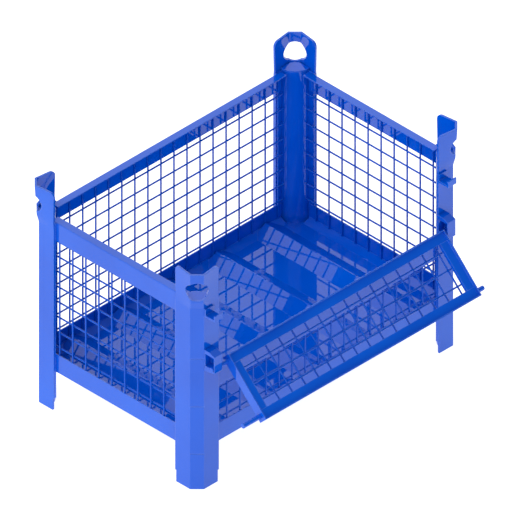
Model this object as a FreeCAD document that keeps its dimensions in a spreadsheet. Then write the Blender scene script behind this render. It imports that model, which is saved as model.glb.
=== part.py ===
"""Stackable wire mesh container with a drop gate in its front wall.

Millimetres, +Z up. X runs along the long walls, the gate is on the -Y side, and the
origin is on the ground under the middle of the container with its gate half open.

Every wall and every corner is described in the frame of the post where it starts:
x runs along the wall away from the post, y runs inward from the post's outer plane.
"""
import FreeCAD, Part
import math
import os
import Sketcher
from FreeCAD import Placement, Rotation, Vector

DIMENSIONS = {
    # overall
    "container_length": 1010.0,
    "container_width": 634.0,
    "ground_centre": 232.6,
    # corner posts, pressed from sheet with a flattened corner
    "post_sheet": 6.0,
    "post_leg": 84.0,
    "foot_leg": 80.0,
    "foot_notch": 38.0,
    "post_chamfer": 27.0,
    "lug_root": 600.0,
    "lug_neck": 622.0,
    "lug_top": 718.0,
    "lug_neck_leg": 82.0,
    "lug_neck_bulge": 3.0,
    "lug_neck_reach": 21.5,
    "lug_top_bulge": 8.0,
    "lug_top_reach": 18.8,
    "lug_corner_radius": 15.0,
    "eye_radius": 31.0,
    "eye_centre": 659.0,
    "groove_first": 115.0,
    "groove_pitch": 157.5,
    "groove_opening": 3.0,
    "groove_depth": 1.2,
    # rounded cover behind each post and the seat on top of it
    "cover_centre": 10.0,
    "cover_radius": 51.0,
    "cover_sheet": 3.0,
    "cover_top": 622.0,
    "seat_sheet": 4.0,
    "seat_chamfer": 16.0,
    # walls
    "wall_base": 122.0,
    "wall_top": 618.0,
    "gate_sill": 369.0,
    "strip_thickness": 4.0,
    "strip_start": 56.0,
    "strip_end": 84.0,
    "rail_start": 66.0,
    "rail_sheet": 3.0,
    "rail_face": 60.0,
    "top_flange": 25.0,
    "foot_flange": 22.0,
    # welded mesh
    "wire_diameter": 5.0,
    "mesh_pitch": 50.0,
    "mesh_weld": 0.3,
    "mesh_low": 139.0,
    "mesh_shift": 4.0,
    "mesh_clearance": 6.0,
    "first_bar": 200.0,
    "first_panel_bar": 190.0,
    # pressed floor
    "floor_level": 127.0,
    "floor_sheet": 3.0,
    "floor_edge_level": 138.6,
    "floor_margin": 24.0,
    "floor_notch": 69.0,
    "ridge_pitch": 186.5,
    "ridge_rise": 23.0,
    "ridge_half_foot": 49.0,
    "ridge_half_crest": 1.5,
    "gusset_sheet": 4.0,
    "gusset_reach": 80.0,
    # gate brackets on the front posts
    "bracket_start": 27.6,
    "bracket_spacing": 895.0,
    "bracket_width": 30.0,
    "bracket_foot": 393.0,
    "bracket_rise": 8.0,
    "bracket_depth": 39.0,
    "bracket_shoulder": 455.0,
    "bracket_crown": 463.0,
    "bracket_crown_depth": 19.0,
    "bracket_sheet": 4.0,
    "bracket_guide": 8.0,
    "slot_near": 21.2,
    "slot_far": 36.8,
    "slot_top": 451.0,
    "hook_width": 32.0,
    "hook_foot": 573.0,
    "hook_plate": 5.0,
    "hook_clearance": 0.5,
    "hook_back_top": 598.0,
    "hook_lip_top": 592.0,
    "hook_lip_near": 36.6,
    "hook_depth": 40.6,
    # drop gate
    "pivot_depth": 29.0,
    "pivot_height": 411.0,
    "gate_start": 88.2,
    "gate_end": 916.2,
    "gate_hinge_edge": 15.0,
    "gate_free_edge": 191.0,
    "gate_rim_level": 18.0,
    "gate_back_level": 13.0,
    "gate_sheet": 3.0,
    "gate_flange": 30.0,
    "gate_flange_level": 10.5,
    "gate_lip_level": 0.5,
    "rod_diameter": 14.0,
    "rod_clearance": 0.08,
    "rod_bevel": 1.0,
    "lock_rod_reach": 175.0,
    "pivot_rod_start": 24.0,
    "pivot_rod_end": 948.0,
    "lock_rod_start": 22.0,
    "lock_rod_end": 945.0,
    "gate_wire_first": 130.0,
    "gate_bar_first": 53.0,
    "gate_wire_level": 10.0,
}
SHEET = "Dimensions"
LONG_WALL_WIRES = 18
SHORT_WALL_WIRES = 10
WALL_BARS = 8
PANEL_BARS = 3
GATE_WIRES = 16
GATE_BARS = 3
RIDGES = 5
GROOVES = 3
GATE_OPEN_ANGLE = 45.0
DIAGONAL = math.sqrt(0.5)
FLAT = Rotation()
ALONG_X = Rotation(Vector(0, 1, 0), 90)
ALONG_Y = Rotation(Vector(1, 0, 0), -90)
UPRIGHT = Rotation(Vector(1, 0, 0), 90)


class Size:
    """A length that carries the sheet formula it comes from."""

    def __init__(self, value, formula=None):
        self.value = value
        self.formula = formula or repr(value)

    def combine(self, sign, other, value):
        return Size(value, f"({self.formula} {sign} {as_size(other).formula})")

    def __add__(self, other):
        return self.combine("+", other, self.value + as_size(other).value)

    def __sub__(self, other):
        return self.combine("-", other, self.value - as_size(other).value)

    def __mul__(self, factor):
        return self.combine("*", factor, self.value * as_size(factor).value)

    def __truediv__(self, divisor):
        return self.combine("/", divisor, self.value / as_size(divisor).value)

    def __neg__(self):
        return Size(0.0) - self


def as_size(number):
    return number if isinstance(number, Size) else Size(float(number))


def fill_sheet(document):
    """Writes the driving dimensions and gives them back as sizes bound to their cells."""
    sheet = document.addObject("Spreadsheet::Sheet", SHEET)
    for row, (name, value) in enumerate(DIMENSIONS.items(), start=1):
        sheet.set(f"A{row}", name)
        sheet.set(f"B{row}", f"{value}")
        sheet.setAlias(f"B{row}", name)
    document.recompute()
    return {name: Size(value, f"{SHEET}.{name}") for name, value in DIMENSIONS.items()}


document = FreeCAD.newDocument("wire_mesh_container")
dim = fill_sheet(document)
subparts = []


def bind(item, name, size):
    item.setExpression(name, as_size(size).formula)


def new_body(name):
    body = document.addObject("PartDesign::Body", name)
    body.Label = name
    body.AllowCompound = True
    subparts.append(body)
    return body


def origin_feature(body, role):
    return next(item for item in body.Origin.OriginFeatures if item.Role == role)


def place(item, turn, spot):
    """Turns the item and binds its position to the sheet."""
    item.Placement = Placement(Vector(), turn)
    for axis, size in zip("xyz", spot):
        bind(item, f"Placement.Base.{axis}", size)


def block(body, low, high, cut=False):
    """A box between two opposite corners."""
    kind = "PartDesign::SubtractiveBox" if cut else "PartDesign::AdditiveBox"
    item = body.newObject(kind, "Recess" if cut else "Block")
    for side, start, end in zip(("Length", "Width", "Height"), low, high):
        bind(item, side, as_size(end) - start)
    place(item, FLAT, low)
    return item


def cylinder(body, radius, start, length, turn=FLAT, cut=False):
    """A round bar or hole that leaves its start along the turned z axis."""
    kind = "PartDesign::SubtractiveCylinder" if cut else "PartDesign::AdditiveCylinder"
    item = body.newObject(kind, "Bore" if cut else "Bar")
    bind(item, "Radius", radius)
    bind(item, "Height", length)
    place(item, turn, start)
    return item


def outline(body, plane, corners, level=0):
    """A closed outline of straight sides, each corner held by the sheet."""
    sketch = body.newObject("Sketcher::SketchObject", "Outline")
    sketch.AttachmentSupport = [(origin_feature(body, plane), "")]
    sketch.MapMode = "FlatFace"
    bind(sketch, "AttachmentOffset.Base.z", level)
    sizes = [(as_size(across), as_size(up)) for across, up in corners]
    points = [Vector(across.value, up.value, 0) for across, up in sizes]
    count = len(points)
    for index in range(count):
        sketch.addGeometry(Part.LineSegment(points[index], points[(index + 1) % count]), False)
    for index in range(count):
        sketch.addConstraint(Sketcher.Constraint("Coincident", index, 2, (index + 1) % count, 1))
    for index, (across, up) in enumerate(sizes):
        hold(sketch, index, "DistanceX", -2, across)
        hold(sketch, index, "DistanceY", -1, up)
    return sketch


def hold(sketch, index, kind, axis, size):
    """Fixes one coordinate of a corner: on the axis itself or at a distance from it."""
    if size.value == 0:
        sketch.addConstraint(Sketcher.Constraint("PointOnObject", index, 1, axis))
        return
    number = sketch.addConstraint(Sketcher.Constraint(kind, -1, 1, index, 1, size.value))
    sketch.setExpression(f"Constraints[{number}]", size.formula)


def pad(body, sketch, length):
    item = body.newObject("PartDesign::Pad", "Pad")
    item.Profile = sketch
    bind(item, "Length", length)
    sketch.Visibility = False
    return item


def edge_names(body, wanted):
    """Names of the edges of the body's newest feature whose middle point passes the test."""
    document.recompute()
    edges = enumerate(body.Tip.Shape.Edges, start=1)
    return [f"Edge{number}" for number, edge in edges if wanted(edge.CenterOfMass, edge)]


def soften(body, kind, wanted, size):
    """Rounds (Fillet) or bevels (Chamfer) the chosen edges."""
    names = edge_names(body, wanted)
    base = body.Tip
    item = body.newObject(f"PartDesign::{kind}", kind)
    item.Base = (base, names)
    bind(item, "Radius" if kind == "Fillet" else "Size", size)
    return item


def repeat(body, original, axis, pitch, count):
    """A straight row of copies of one feature."""
    row = body.newObject("PartDesign::LinearPattern", "Row")
    row.Originals = [original]
    row.Direction = (origin_feature(body, axis), [""])
    row.Occurrences = count
    bind(row, "Length", pitch * (count - 1))
    body.Tip = row
    return row


def near(value, size):
    return abs(value - as_size(size).value) < 0.01


half_length = dim["container_length"] / 2
front = -dim["ground_centre"]
rear = dim["container_width"] - dim["ground_centre"]

# Each corner's post: the turn of its frame and the place of its virtual outer corner.
CORNERS = {
    "front_left": (0, (-half_length, front, 0)),
    "front_right": (90, (half_length, front, 0)),
    "rear_right": (180, (half_length, rear, 0)),
    "rear_left": (270, (-half_length, rear, 0)),
}
# Each wall: the post it starts from, its span, its wires, and the names of its two ends.
WALLS = {
    "front": ("front_left", dim["container_length"], LONG_WALL_WIRES, ("left", "right")),
    "right": ("front_right", dim["container_width"], SHORT_WALL_WIRES, ("front", "rear")),
    "rear": ("rear_right", dim["container_length"], LONG_WALL_WIRES, ("right", "left")),
    "left": ("rear_left", dim["container_width"], SHORT_WALL_WIRES, ("rear", "front")),
}


def place_at_corner(body, corner):
    angle, spot = CORNERS[corner]
    place(body, Rotation(Vector(0, 0, 1), angle), spot)


def post_section(bulge, reach, leg):
    """Sheet angle with a flat across its corner, the corner pushed outward by the bulge."""
    sheet = dim["post_sheet"]
    outer = -as_size(bulge)
    inner = outer + sheet
    inner_reach = reach + sheet * (math.sqrt(2) - 1)
    return [
        (0, leg),
        (outer, reach),
        (reach, outer),
        (leg, 0),
        (leg, sheet),
        (inner_reach, inner),
        (inner, inner_reach),
        (sheet, leg),
    ]


def make_post(corner):
    """Corner post whose flattened corner bulges out above into a lug with a crane eye."""
    body = new_body(f"post_{corner}")
    shank = post_section(0, dim["post_chamfer"], dim["post_leg"])
    neck = post_section(dim["lug_neck_bulge"], dim["lug_neck_reach"], dim["lug_neck_leg"])
    crown = post_section(dim["lug_top_bulge"], dim["lug_top_reach"], dim["post_leg"])
    pad(body, outline(body, "XY_Plane", shank), dim["lug_root"])
    stations = [(dim["lug_root"], shank), (dim["lug_neck"], neck), (dim["lug_top"], crown)]
    for (low, low_section), (high, high_section) in zip(stations, stations[1:]):
        start = outline(body, "XY_Plane", low_section, low)
        end = outline(body, "XY_Plane", high_section, high)
        loft = body.newObject("PartDesign::AdditiveLoft", "Loft")
        loft.Profile = start
        loft.Sections = [end]
        loft.Ruled = True
    top = dim["lug_top"]
    tip = dim["post_leg"]
    soften(body, "Fillet",
           lambda middle, edge: near(middle.z, top) and (near(middle.x, tip) or near(middle.y, tip)),
           dim["lug_corner_radius"])
    reach = dim["post_leg"]
    eye_axis = Rotation(Vector(0, 0, 1), Vector(1, 1, 0))
    cylinder(body, dim["eye_radius"], (-reach, -reach, dim["eye_centre"]), reach * 3, eye_axis, cut=True)
    sheet = dim["post_sheet"]
    foot = dim["foot_leg"]
    notch = dim["foot_notch"]
    block(body, (foot, 0, 0), (tip, sheet, notch), cut=True)
    block(body, (0, foot, 0), (sheet, tip, notch), cut=True)
    for number in range(GROOVES):
        cut_groove(body, dim["groove_first"] + dim["groove_pitch"] * number)
    place_at_corner(body, corner)


def cut_groove(body, low):
    """Shallow groove across the flattened corner, cut by a block turned to lie along it."""
    chamfer = dim["post_chamfer"]
    bottom = chamfer / 2 + dim["groove_depth"] * DIAGONAL
    groove = block(body, (0, 0, 0), (chamfer * 2, chamfer, dim["groove_opening"]), cut=True)
    place(groove, Rotation(Vector(0, 0, 1), -45), (bottom - chamfer / DIAGONAL, bottom, low))


def make_cover(corner):
    """Quarter-round sheet that closes the back of a post."""
    body = new_body(f"post_cover_{corner}")
    centre = (dim["cover_centre"], dim["cover_centre"], 0)
    shell = cylinder(body, dim["cover_radius"], centre, dim["cover_top"])
    shell.Angle = 90
    cylinder(body, dim["cover_radius"] - dim["cover_sheet"], centre, dim["cover_top"], cut=True)
    place_at_corner(body, corner)


def make_seat(corner):
    """Flat plate inside the lugs that carries the foot of the container stacked on top."""
    body = new_body(f"stacking_seat_{corner}")
    reach = dim["cover_centre"] + dim["cover_radius"]
    base = dim["cover_top"]
    inner = dim["post_sheet"]
    block(body, (inner, inner, base), (reach, reach, base + dim["seat_sheet"]))
    soften(body, "Chamfer",
           lambda middle, edge: near(middle.x, inner) and near(middle.y, inner), dim["seat_chamfer"])
    soften(body, "Fillet",
           lambda middle, edge: near(middle.x, reach) and near(middle.y, reach), dim["cover_radius"])
    place_at_corner(body, corner)


def make_gusset(corner):
    """Horizontal plate that ties the two bottom rails to the foot of the post cover."""
    body = new_body(f"corner_gusset_{corner}")
    inner = rail_back()
    top = dim["wall_base"]
    block(body, (inner, inner, top - dim["gusset_sheet"]), (dim["gusset_reach"], dim["gusset_reach"], top))
    centre = (dim["cover_centre"], dim["cover_centre"], top - dim["gusset_sheet"])
    cylinder(body, dim["cover_radius"], centre, dim["gusset_sheet"], cut=True)
    place_at_corner(body, corner)


def rail_front():
    return dim["post_sheet"] + dim["strip_thickness"]


def rail_back():
    return rail_front() + dim["rail_sheet"]


def wall_top(wall):
    return dim["gate_sill"] if wall == "front" else dim["wall_top"]


def make_strips(wall):
    """Two upright flats that carry the wall's rails behind the post flanges."""
    corner, span, wires, ends = WALLS[wall]
    near_end = (dim["strip_start"], dim["strip_end"])
    far_end = (span - dim["strip_end"], span - dim["strip_start"])
    for end, (start, stop) in zip(ends, (near_end, far_end)):
        body = new_body(f"edge_strip_{wall}_{end}")
        block(body, (start, dim["post_sheet"], dim["foot_notch"]), (stop, rail_front(), wall_top(wall)))
        place_at_corner(body, corner)


def make_rail(name, wall, face_low, flange_width, flange_on_top):
    """Folded sheet angle between two posts, its flange turned inward."""
    corner, span, wires, ends = WALLS[wall]
    body = new_body(name)
    face_high = face_low + dim["rail_face"]
    outer = rail_front()
    inner = rail_back()
    lip = outer + flange_width
    sheet = dim["rail_sheet"]
    fold = face_high if flange_on_top else face_low
    fold_back = fold - sheet if flange_on_top else fold + sheet
    free = face_low if flange_on_top else face_high
    corners = [(outer, free), (outer, fold), (lip, fold), (lip, fold_back), (inner, fold_back), (inner, free)]
    profile = outline(body, "YZ_Plane", corners, dim["rail_start"])
    pad(body, profile, span - dim["rail_start"] * 2)
    soften(body, "Fillet", lambda middle, edge: near(middle.y, outer) and near(middle.z, fold),
           dim["rail_sheet"])
    place_at_corner(body, corner)


def make_mesh(name, wall, top, first_bar, bars):
    """Welded wire panel: upright wires against the rails, bars welded on their inner side."""
    corner, span, wires, ends = WALLS[wall]
    body = new_body(name)
    radius = dim["wire_diameter"] / 2
    first_wire = span / 2 - dim["mesh_pitch"] * ((wires - 1) / 2)
    if wall == "right":
        first_wire = first_wire - dim["mesh_shift"]
    wire_plane = rail_back() + radius
    bar_plane = wire_plane + dim["wire_diameter"] - dim["mesh_weld"]
    wire = cylinder(body, radius, (first_wire, wire_plane, dim["mesh_low"]), top - dim["mesh_low"])
    repeat(body, wire, "X_Axis", dim["mesh_pitch"], wires)
    bar_length = span - dim["rail_start"] * 2
    bar = cylinder(body, radius, (dim["rail_start"], bar_plane, first_bar), bar_length, ALONG_X)
    repeat(body, bar, "Z_Axis", dim["mesh_pitch"], bars)
    place_at_corner(body, corner)


def part_object(kind, name, **sizes):
    item = document.addObject(f"Part::{kind}", name)
    for prop, size in sizes.items():
        bind(item, prop, size)
    return item


def floor_form(drop, spread):
    """Solid whose top is the pressed floor, lowered by a drop and widened by a spread.

    The floor lies in the middle of the walls: a flat bed, margins that slope up to the
    rails, and folded ridges that cross it from the front wall to the rear wall.
    """
    half_x = dim["container_length"] / 2 - rail_back()
    half_y = dim["container_width"] / 2 - rail_back()
    ridge_end = half_y - dim["wire_diameter"]
    rise = dim["floor_edge_level"] - dim["floor_level"]
    bed = dim["floor_level"] - drop
    slab = part_object("Box", "FloorSlab", Length=(half_x + spread) * 2, Width=(half_y + spread) * 2,
                       Height=rise + dim["floor_sheet"] * 2)
    place(slab, FLAT, (-half_x - spread, -half_y - spread, bed - dim["floor_sheet"] * 2))
    recess = upright_wedge("FloorRecess", rise, (half_x - dim["floor_margin"], half_x),
                           (half_y - dim["floor_margin"], half_y))
    place(recess, UPRIGHT, (0, 0, bed))
    bowl = part_object("Cut", "FloorBowl")
    bowl.Base = slab
    bowl.Tool = recess
    ridges = []
    for number in range(RIDGES):
        ridge = upright_wedge("FloorRidge", dim["ridge_rise"],
                              (dim["ridge_half_foot"], dim["ridge_half_crest"]),
                              (ridge_end - drop, ridge_end - drop))
        place(ridge, UPRIGHT, (dim["ridge_pitch"] * (number - (RIDGES - 1) / 2), 0, bed))
        ridges.append(ridge)
    form = part_object("MultiFuse", "FloorForm")
    form.Shapes = [bowl] + ridges
    return form


def upright_wedge(name, height, half_x, half_y):
    """Tapering block, each half width given at its foot and at its top."""
    return part_object("Wedge", name, Ymin=0, Ymax=height, Xmin=-half_x[0], Xmax=half_x[0],
                       X2min=-half_x[1], X2max=half_x[1], Zmin=-half_y[0], Zmax=half_y[0],
                       Z2min=-half_y[1], Z2max=half_y[1])


def make_floor():
    """Pressed floor sheet: what is left of its form once the same form, lowered, is cut away."""
    sheet = part_object("Cut", "FloorSheet")
    sheet.Base = floor_form(0, 0)
    sheet.Tool = floor_form(dim["floor_sheet"], 5)
    inset_x = dim["container_length"] / 2 - dim["floor_notch"]
    inset_y = dim["container_width"] / 2 - dim["floor_notch"]
    notches = []
    for low_x in (inset_x, -inset_x - dim["floor_notch"]):
        for low_y in (inset_y, -inset_y - dim["floor_notch"]):
            notch = part_object("Box", "FloorNotch", Length=dim["floor_notch"], Width=dim["floor_notch"],
                                Height=dim["lug_top"])
            place(notch, FLAT, (low_x, low_y, 0))
            notches.append(notch)
    corners = part_object("MultiFuse", "FloorNotches")
    corners.Shapes = notches
    floor = part_object("Cut", "floor_pan")
    floor.Base = sheet
    floor.Tool = corners
    place(floor, FLAT, (0, front + dim["container_width"] / 2, 0))
    subparts.append(floor)


def make_bracket(side, start):
    """Hinge bracket on a front post, hollow but for a slotted guide that lets the pivot rod lift."""
    body = new_body(f"gate_hinge_bracket_{side}")
    profile = outline(body, "YZ_Plane", [
        (0, dim["bracket_foot"]),
        (-dim["bracket_depth"], dim["bracket_foot"] + dim["bracket_rise"]),
        (-dim["bracket_depth"], dim["bracket_shoulder"]),
        (-dim["bracket_crown_depth"], dim["bracket_crown"]),
        (0, dim["bracket_crown"]),
    ], start)
    pad(body, profile, dim["bracket_width"])
    slot_radius = (dim["slot_far"] - dim["slot_near"]) / 2
    slot_foot = dim["pivot_height"] - dim["rod_diameter"] / 2 - dim["rod_clearance"]
    slot_turn = slot_foot + slot_radius
    slot_middle = -(dim["slot_far"] + dim["slot_near"]) / 2
    cylinder(body, slot_radius, (start, slot_middle, slot_turn), dim["bracket_width"], ALONG_X, cut=True)
    block(body, (start, -dim["slot_far"], slot_turn),
          (start + dim["bracket_width"], -dim["slot_near"], dim["slot_top"]), cut=True)
    block(body, (start, -dim["slot_far"], slot_turn),
          (start + dim["bracket_width"] - dim["bracket_guide"], -dim["bracket_sheet"], dim["slot_top"]),
          cut=True)
    place_at_corner(body, "front_left")


def make_hook(side, start):
    """J-shaped hook on a front post, the closed gate's lock rod drops behind its lip."""
    body = new_body(f"gate_hook_{side}")
    lock_height = dim["pivot_height"] + dim["lock_rod_reach"]
    tray = lock_height - dim["rod_diameter"] / 2 - dim["hook_clearance"]
    profile = outline(body, "YZ_Plane", [
        (0, dim["hook_foot"]),
        (-dim["hook_depth"], dim["hook_foot"]),
        (-dim["hook_depth"], dim["hook_lip_top"]),
        (-dim["hook_lip_near"], dim["hook_lip_top"]),
        (-dim["hook_lip_near"], tray),
        (-dim["hook_plate"], tray),
        (-dim["hook_plate"], dim["hook_back_top"]),
        (0, dim["hook_back_top"]),
    ], start)
    pad(body, profile, dim["hook_width"])
    place_at_corner(body, "front_left")


def place_in_gate(body):
    """Puts a gate piece, described from the pivot, at the gate's resting angle."""
    spot = (-half_length, front - dim["pivot_depth"], dim["pivot_height"])
    place(body, Rotation(Vector(1, 0, 0), GATE_OPEN_ANGLE), spot)


def make_pivot_rod():
    body = new_body("gate_pivot_rod")
    start = dim["pivot_rod_start"]
    spot = (start, -dim["pivot_depth"], dim["pivot_height"])
    cylinder(body, dim["rod_diameter"] / 2, spot, dim["pivot_rod_end"] - start, ALONG_X)
    bevel_ends(body, start, dim["pivot_rod_end"])
    place_at_corner(body, "front_left")


def make_lock_rod():
    body = new_body("gate_lock_rod")
    start = dim["lock_rod_start"]
    spot = (start, -dim["lock_rod_reach"], 0)
    cylinder(body, dim["rod_diameter"] / 2, spot, dim["lock_rod_end"] - start, ALONG_X)
    bevel_ends(body, start, dim["lock_rod_end"])
    place_in_gate(body)


def bevel_ends(body, start, end):
    soften(body, "Chamfer", lambda middle, edge: near(middle.x, start) or near(middle.x, end),
           dim["rod_bevel"])


def gate_levels():
    """Levels of the gate frame: back, lip foot, flange underside, flange top and rim."""
    flange = dim["gate_flange_level"]
    return (-dim["gate_back_level"], dim["gate_lip_level"], flange - dim["gate_sheet"], flange,
            dim["gate_rim_level"])


def make_gate_side(name, edge, direction):
    """Long member of the gate frame: an outer web and a recessed flange with a lip."""
    body = new_body(name)
    sheet = dim["gate_sheet"]
    back, lip_foot, under, flange, rim = gate_levels()
    web = edge + sheet * direction
    inner = edge + dim["gate_flange"] * direction
    lip = inner - sheet * direction
    profile = outline(body, "YZ_Plane", [
        (edge, back), (edge, rim), (web, rim), (web, flange), (inner, flange),
        (inner, lip_foot), (lip, lip_foot), (lip, under), (web, under), (web, back),
    ], dim["gate_start"] + sheet)
    pad(body, profile, dim["gate_end"] - dim["gate_start"] - sheet * 2)
    place_in_gate(body)


def in_order(first, second):
    return (first, second) if first.value < second.value else (second, first)


def make_gate_end(name, outer, direction):
    """Short member of the gate frame, its full-height web bored for both rods."""
    body = new_body(name)
    sheet = dim["gate_sheet"]
    back, lip_foot, under, flange, rim = gate_levels()
    free = -dim["gate_free_edge"]
    low = free + dim["gate_flange"]
    high = dim["gate_hinge_edge"] - dim["gate_flange"]
    inner = outer + dim["gate_flange"] * direction
    web = in_order(outer, outer + sheet * direction)
    shelf = in_order(outer, inner)
    lip = in_order(inner - sheet * direction, inner)
    block(body, (web[0], free, back), (web[1], dim["gate_hinge_edge"], rim))
    block(body, (shelf[0], low, under), (shelf[1], high, flange))
    block(body, (lip[0], low, lip_foot), (lip[1], high, flange))
    bore = dim["rod_diameter"] / 2 + dim["rod_clearance"]
    for rod in (0, -dim["lock_rod_reach"]):
        cylinder(body, bore, (web[0], rod, 0), sheet, ALONG_X, cut=True)
    place_in_gate(body)


def make_gate_mesh():
    """Welded wire panel of the gate: short wires, with long bars welded in front of them."""
    body = new_body("gate_mesh")
    sheet = dim["gate_sheet"]
    radius = dim["wire_diameter"] / 2
    low = sheet - dim["gate_free_edge"]
    high = dim["gate_hinge_edge"] - sheet
    level = -dim["gate_wire_level"]
    wire = cylinder(body, radius, (dim["gate_wire_first"], low, level), high - low, ALONG_Y)
    repeat(body, wire, "X_Axis", dim["mesh_pitch"], GATE_WIRES)
    lowest_bar = dim["gate_hinge_edge"] - dim["gate_bar_first"] - dim["mesh_pitch"] * (GATE_BARS - 1)
    start = dim["gate_start"] + sheet
    bar_level = level + dim["wire_diameter"] - dim["mesh_weld"]
    bar = cylinder(body, radius, (start, lowest_bar, bar_level), dim["gate_end"] - sheet - start, ALONG_X)
    repeat(body, bar, "Y_Axis", dim["mesh_pitch"], GATE_BARS)
    place_in_gate(body)


def make_walls():
    for wall in WALLS:
        make_strips(wall)
        make_rail(f"bottom_rail_{wall}", wall, dim["wall_base"], dim["foot_flange"], False)
        top = wall_top(wall)
        rail_name = "gate_sill_rail" if wall == "front" else f"top_rail_{wall}"
        make_rail(rail_name, wall, top - dim["rail_face"], dim["top_flange"], True)
        bars = PANEL_BARS if wall == "front" else WALL_BARS
        first_bar = dim["first_panel_bar"] if wall == "front" else dim["first_bar"]
        mesh_top = top - dim["mesh_clearance"]
        make_mesh(f"wall_mesh_{wall}", wall, mesh_top, first_bar, bars)


def make_corners():
    for corner in CORNERS:
        make_post(corner)
        make_cover(corner)
        make_seat(corner)
        make_gusset(corner)


def make_gate():
    for side, shift in (("left", 0), ("right", dim["bracket_spacing"])):
        start = dim["bracket_start"] + shift
        make_bracket(side, start)
        make_hook(side, start)
    make_pivot_rod()
    make_lock_rod()
    make_gate_side("gate_frame_hinge_side", dim["gate_hinge_edge"], -1)
    make_gate_side("gate_frame_lock_side", -dim["gate_free_edge"], 1)
    make_gate_end("gate_frame_left_end", dim["gate_start"], 1)
    make_gate_end("gate_frame_right_end", dim["gate_end"], -1)
    make_gate_mesh()


def write_subparts():
    """Stops on any failed object or bad shape, then writes one file for each sub-part."""
    document.recompute()
    for item in document.Objects:
        if "Invalid" in item.State or "Error" in item.State:
            raise RuntimeError(f"{item.Name} ({item.Label}) failed: {item.State}")
    for item in subparts:
        if item.Shape.isNull() or not item.Shape.isValid():
            raise RuntimeError(f"{item.Label} has no valid shape")
        if len(item.Shape.Solids) != 1:
            raise RuntimeError(f"{item.Label} is {len(item.Shape.Solids)} solids")
    os.makedirs("parts", exist_ok=True)
    for item in subparts:
        item.Shape.exportStep(f"parts/{item.Label}.step")


make_corners()
make_walls()
make_floor()
make_gate()
write_subparts()
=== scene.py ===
"""Looks of the wire mesh container: glossy blue enamel on sheet steel and welded wire."""

import bpy
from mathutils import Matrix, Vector


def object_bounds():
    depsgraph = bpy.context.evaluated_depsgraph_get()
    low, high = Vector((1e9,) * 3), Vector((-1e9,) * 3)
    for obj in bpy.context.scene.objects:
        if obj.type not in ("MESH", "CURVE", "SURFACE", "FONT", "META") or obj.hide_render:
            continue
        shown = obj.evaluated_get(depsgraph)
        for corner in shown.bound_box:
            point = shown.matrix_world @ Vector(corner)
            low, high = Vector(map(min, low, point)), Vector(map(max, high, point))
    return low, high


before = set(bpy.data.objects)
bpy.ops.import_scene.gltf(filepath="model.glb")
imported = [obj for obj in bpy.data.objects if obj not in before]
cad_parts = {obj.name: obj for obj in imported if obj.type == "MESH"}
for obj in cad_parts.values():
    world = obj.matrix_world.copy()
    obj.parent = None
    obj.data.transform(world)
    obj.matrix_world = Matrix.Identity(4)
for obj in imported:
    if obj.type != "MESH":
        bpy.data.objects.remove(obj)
cad_low, cad_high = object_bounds()

# Colours are linear, lengths are in metres
WHITE = (1.0, 1.0, 1.0)
BLACK = (0.0, 0.0, 0.0)

# Enamel: its tone drifts from deep to light, and a painted highlight, lighter blue in patches,
# runs along its edges
PAINT_DEEP = (0.0, 0.080, 0.570)
PAINT = (0.0, 0.088, 0.610)
PAINT_LIGHT = (0.0, 0.100, 0.650)
TONE_PLACES = (0.3, 0.5, 0.7)
EDGE_HIGHLIGHT = (0.110, 0.290, 0.950)
FULL_HIGHLIGHT_COSINE = 0.80
NO_HIGHLIGHT_COSINE = 0.999
BEVEL_SAMPLES = 6
MIN_ROUGHNESS = 0.006
MAX_ROUGHNESS = 0.030
PEEL_STRENGTH = 0.02
PEEL_HEIGHT = 0.0002

# Scale and detail of each noise. The orange peel's scale depends on the finish
TONE_NOISE = (5.0, 3.0)
HIGHLIGHT_NOISE = (60.0, 4.0)
GLOSS_NOISE = (25.0, 4.0)
PEEL_DETAIL = 2.0

# Finishes. The wire gets a darker copy of the sheet colours, a painted shade, and reflects less
SHEET_FINISH = {"bevel": 0.0020, "peel_scale": 220.0}
FLOOR_FINISH = {"bevel": 0.0015, "peel_scale": 160.0}
WIRE_FINISH = {"bevel": 0.0005, "peel_scale": 400.0, "painted_shade": 0.85, "ior": 1.3}

# Studio: the ground glows pale, the surroundings are white but for one soft dark card
GROUND = (0.40, 0.40, 0.40)
GROUND_ROUGHNESS = 0.9
GROUND_GLOW = 0.92
GROUND_SIZE = 20.0
GROUND_GAP = 0.0005
SURROUNDINGS = 1.40
DARK_CARD = 0.10
DARK_CARD_DIRECTION = Vector((1.0, -1.0, 1.0)).normalized()
DARK_CARD_EDGE_COSINE = 0.55
DARK_CARD_CORE_COSINE = 0.92

# The camera looks down on the corner between the gate and the left wall, along the body diagonal
VIEW_DIRECTION = Vector((1.0, 1.0, -1.0)).normalized()
VIEW_WIDTH = 1.389
VIEW_CENTRE = Vector((0.0966, 0.1427, 0.300))
VIEW_DISTANCE = 4.0


def add_node(tree, kind, **settings):
    node = tree.nodes.new(kind)
    for name, value in settings.items():
        setattr(node, name, value)
    return node


def noise(tree, position, scale, detail):
    node = add_node(tree, "ShaderNodeTexNoise")
    node.inputs["Scale"].default_value = scale
    node.inputs["Detail"].default_value = detail
    tree.links.new(position, node.inputs["Vector"])
    return node.outputs["Fac"]


def ramp(tree, value, stops):
    node = add_node(tree, "ShaderNodeValToRGB")
    elements = node.color_ramp.elements
    while len(elements) < len(stops):
        elements.new(0.5)  # moved to its place below
    for element, (place, colour) in zip(elements, stops):
        element.position = place
        element.color = (*colour, 1.0)
    tree.links.new(value, node.inputs["Fac"])
    return node.outputs["Color"]


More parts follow.
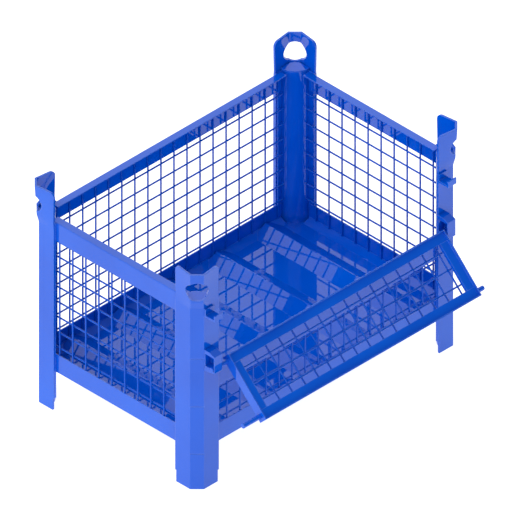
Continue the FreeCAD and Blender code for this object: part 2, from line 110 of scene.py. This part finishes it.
def blend_colour(tree, amount, low, high):
    """Each of low and high is a colour or the output of a node."""
    node = add_node(tree, "ShaderNodeMix", data_type="RGBA")
    tree.links.new(amount, node.inputs["Factor"])
    for name, colour in (("A", low), ("B", high)):
        socket = next(s for s in node.inputs if s.name == name and s.type == "RGBA")
        if isinstance(colour, tuple):
            socket.default_value = (*colour, 1.0)
        else:
            tree.links.new(colour, socket)
    return next(s for s in node.outputs if s.type == "RGBA")


def shaded(colour, painted_shade):
    return tuple(channel * painted_shade for channel in colour)


def enamel(name, bevel, peel_scale, painted_shade=1.0, ior=1.5):
    """Sprayed enamel: slight drift of tone, orange peel, and a painted highlight in patches along
    edges.
    """
    material = bpy.data.materials.new(name)
    material.use_nodes = True
    tree = material.node_tree
    tree.nodes.clear()
    output = add_node(tree, "ShaderNodeOutputMaterial")
    shader = add_node(tree, "ShaderNodeBsdfPrincipled")
    shader.inputs["IOR"].default_value = ior
    tree.links.new(shader.outputs["BSDF"], output.inputs["Surface"])
    position = add_node(tree, "ShaderNodeTexCoord").outputs["Object"]

    tones = zip(TONE_PLACES, (PAINT_DEEP, PAINT, PAINT_LIGHT))
    # The shade factor darkens every colour of this enamel: a painted shade, used on the wire
    stops = [(place, shaded(colour, painted_shade)) for place, colour in tones]
    tone = ramp(tree, noise(tree, position, *TONE_NOISE), stops)

    # An edge is where the rounded normal turns away from the true one
    true_normal = add_node(tree, "ShaderNodeNewGeometry").outputs["Normal"]
    rounded = add_node(tree, "ShaderNodeBevel", samples=BEVEL_SAMPLES)
    rounded.inputs["Radius"].default_value = bevel
    dot = add_node(tree, "ShaderNodeVectorMath", operation="DOT_PRODUCT")
    tree.links.new(true_normal, dot.inputs[0])
    tree.links.new(rounded.outputs["Normal"], dot.inputs[1])
    # Edges get a lighter blue, broken up in patches: a painted highlight standing in for light
    # caught by the bends
    highlight_stops = [(FULL_HIGHLIGHT_COSINE, WHITE), (NO_HIGHLIGHT_COSINE, BLACK)]
    edge = ramp(tree, dot.outputs["Value"], highlight_stops)
    patchy_highlight = add_node(tree, "ShaderNodeMath", operation="MULTIPLY")
    tree.links.new(edge, patchy_highlight.inputs[0])
    tree.links.new(noise(tree, position, *HIGHLIGHT_NOISE), patchy_highlight.inputs[1])
    colour = blend_colour(tree, patchy_highlight.outputs["Value"], tone, shaded(EDGE_HIGHLIGHT, painted_shade))
    tree.links.new(colour, shader.inputs["Base Color"])

    gloss = add_node(tree, "ShaderNodeMapRange")
    gloss.inputs["To Min"].default_value = MIN_ROUGHNESS
    gloss.inputs["To Max"].default_value = MAX_ROUGHNESS
    tree.links.new(noise(tree, position, *GLOSS_NOISE), gloss.inputs["Value"])
    tree.links.new(gloss.outputs["Result"], shader.inputs["Roughness"])

    bump = add_node(tree, "ShaderNodeBump")
    bump.inputs["Strength"].default_value = PEEL_STRENGTH
    bump.inputs["Distance"].default_value = PEEL_HEIGHT
    tree.links.new(noise(tree, position, peel_scale, PEEL_DETAIL), bump.inputs["Height"])
    tree.links.new(rounded.outputs["Normal"], bump.inputs["Normal"])
    tree.links.new(bump.outputs["Normal"], shader.inputs["Normal"])
    return material


def paint_everything():
    sheet = enamel("sheet_enamel", **SHEET_FINISH)
    floor = enamel("floor_enamel", **FLOOR_FINISH)
    wire = enamel("wire_enamel", **WIRE_FINISH)
    for name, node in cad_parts.items():
        material = wire if "mesh" in name else floor if "floor" in name else sheet
        node.data.materials.clear()
        node.data.materials.append(material)


def add_ground():
    """Plain pale floor that meets the pale surroundings without a horizon."""
    bpy.ops.mesh.primitive_plane_add(size=GROUND_SIZE, location=(0, 0, cad_low.z - GROUND_GAP))
    ground = bpy.context.object
    ground.name = "ground"
    material = bpy.data.materials.new("pale_ground")
    material.use_nodes = True
    shader = material.node_tree.nodes["Principled BSDF"]
    shader.inputs["Base Color"].default_value = (*GROUND, 1.0)
    shader.inputs["Roughness"].default_value = GROUND_ROUGHNESS
    shader.inputs["Emission Color"].default_value = (*WHITE, 1.0)
    shader.inputs["Emission Strength"].default_value = GROUND_GLOW
    ground.data.materials.append(material)


def add_light():
    """White surroundings with a soft dark card in front of the gate, high on the right."""
    world = bpy.data.worlds.new("studio")
    bpy.context.scene.world = world
    world.use_nodes = True
    tree = world.node_tree
    toward_card = add_node(tree, "ShaderNodeVectorMath", operation="DOT_PRODUCT")
    direction = add_node(tree, "ShaderNodeTexCoord").outputs["Generated"]
    tree.links.new(direction, toward_card.inputs[0])
    toward_card.inputs[1].default_value = DARK_CARD_DIRECTION
    strength = add_node(tree, "ShaderNodeMapRange", interpolation_type="SMOOTHSTEP")
    strength.inputs["From Min"].default_value = DARK_CARD_EDGE_COSINE
    strength.inputs["From Max"].default_value = DARK_CARD_CORE_COSINE
    strength.inputs["To Min"].default_value = SURROUNDINGS
    strength.inputs["To Max"].default_value = DARK_CARD
    tree.links.new(toward_card.outputs["Value"], strength.inputs["Value"])
    background = tree.nodes["Background"]
    background.inputs["Color"].default_value = (*WHITE, 1.0)
    tree.links.new(strength.outputs["Result"], background.inputs["Strength"])
    bpy.context.scene.view_settings.view_transform = "Standard"


def add_camera():
    data = bpy.data.cameras.new("camera")
    data.type = "ORTHO"
    data.ortho_scale = VIEW_WIDTH
    camera = bpy.data.objects.new("camera", data)
    bpy.context.scene.collection.objects.link(camera)
    camera.location = VIEW_CENTRE - VIEW_DIRECTION * VIEW_DISTANCE
    camera.rotation_euler = VIEW_DIRECTION.to_track_quat("-Z", "Y").to_euler()
    bpy.context.scene.camera = camera


paint_everything()
add_ground()
add_light()
add_camera()
